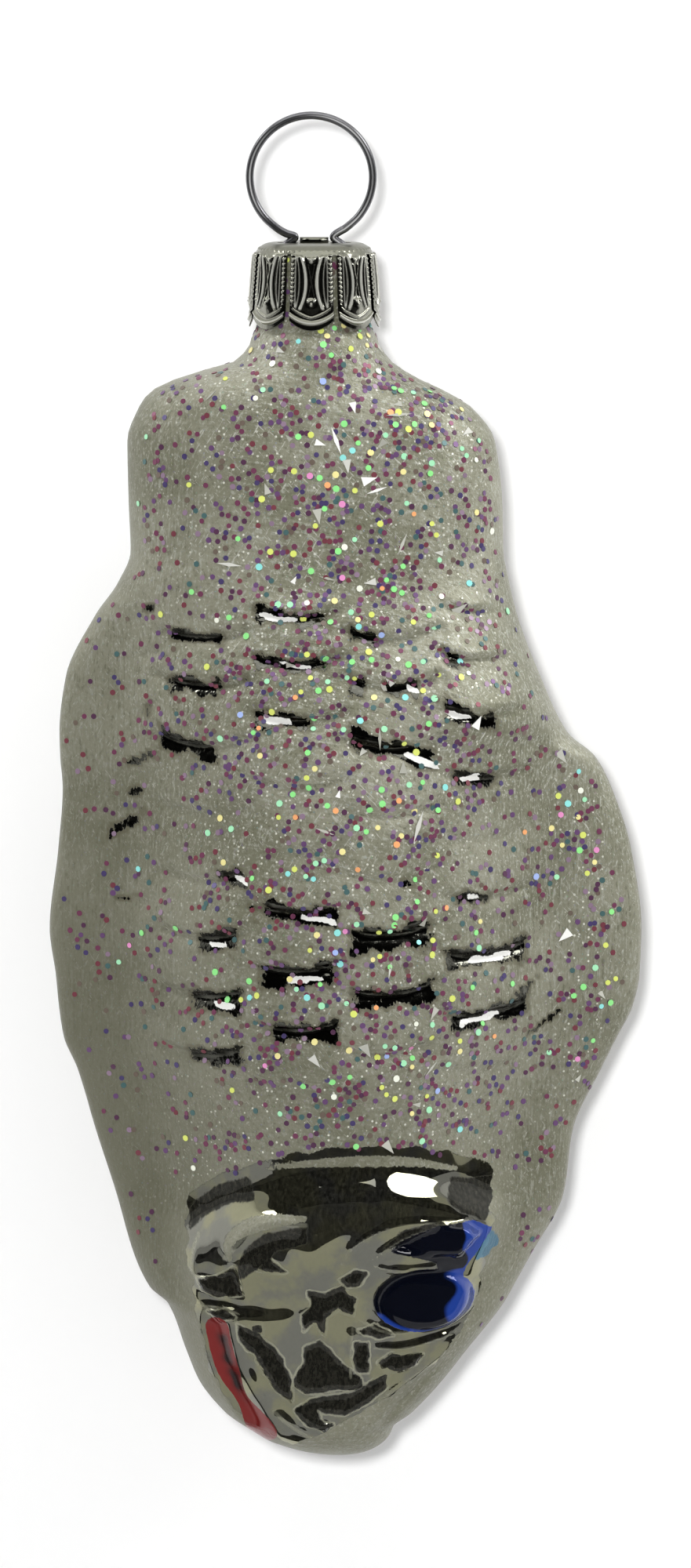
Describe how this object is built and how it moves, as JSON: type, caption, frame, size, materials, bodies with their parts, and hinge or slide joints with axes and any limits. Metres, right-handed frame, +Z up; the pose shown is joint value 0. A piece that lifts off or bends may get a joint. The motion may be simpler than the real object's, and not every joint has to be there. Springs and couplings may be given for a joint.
{
  "type": "glass fish ornament",
  "caption": "Hanging hollow blown-glass fish ornament, head down, with scales and fins in relief, a stamped metal neck cap and a spring wire hanging loop.",
  "frame": {"origin": "the point inside the crown of the wire loop where a hook or a branch bears", "axes": "+Z up along the neck, away from the fish's head, -Y out of the front face, +X towards the dorsal fin"},
  "size_m": [0.0525, 0.0288, 0.1199],
  "materials": {
    "glass": "silvered inside, frosted lacquer and glitter outside",
    "cap": "bright stamped sheet",
    "wire": "drawn wire"
  },
  "bodies": {
    "fish": {"glass_fish": "glass"},
    "cap": {"neck_cap": "cap"},
    "hanger": {"wire_hanger": "wire"}
  },
  "joints": [
    {"name": "cap_lift", "type": "slide", "parent": "fish", "child": "cap", "axis": [0, 0, 1], "range_m": [0, 0.018]},
    {"name": "hanger_tilt", "type": "hinge", "parent": "cap", "child": "hanger", "pos_m": [0, 0, -0.01115], "axis": [1, 0, 0], "range_deg": [-4.5, 4.5]}
  ]
}
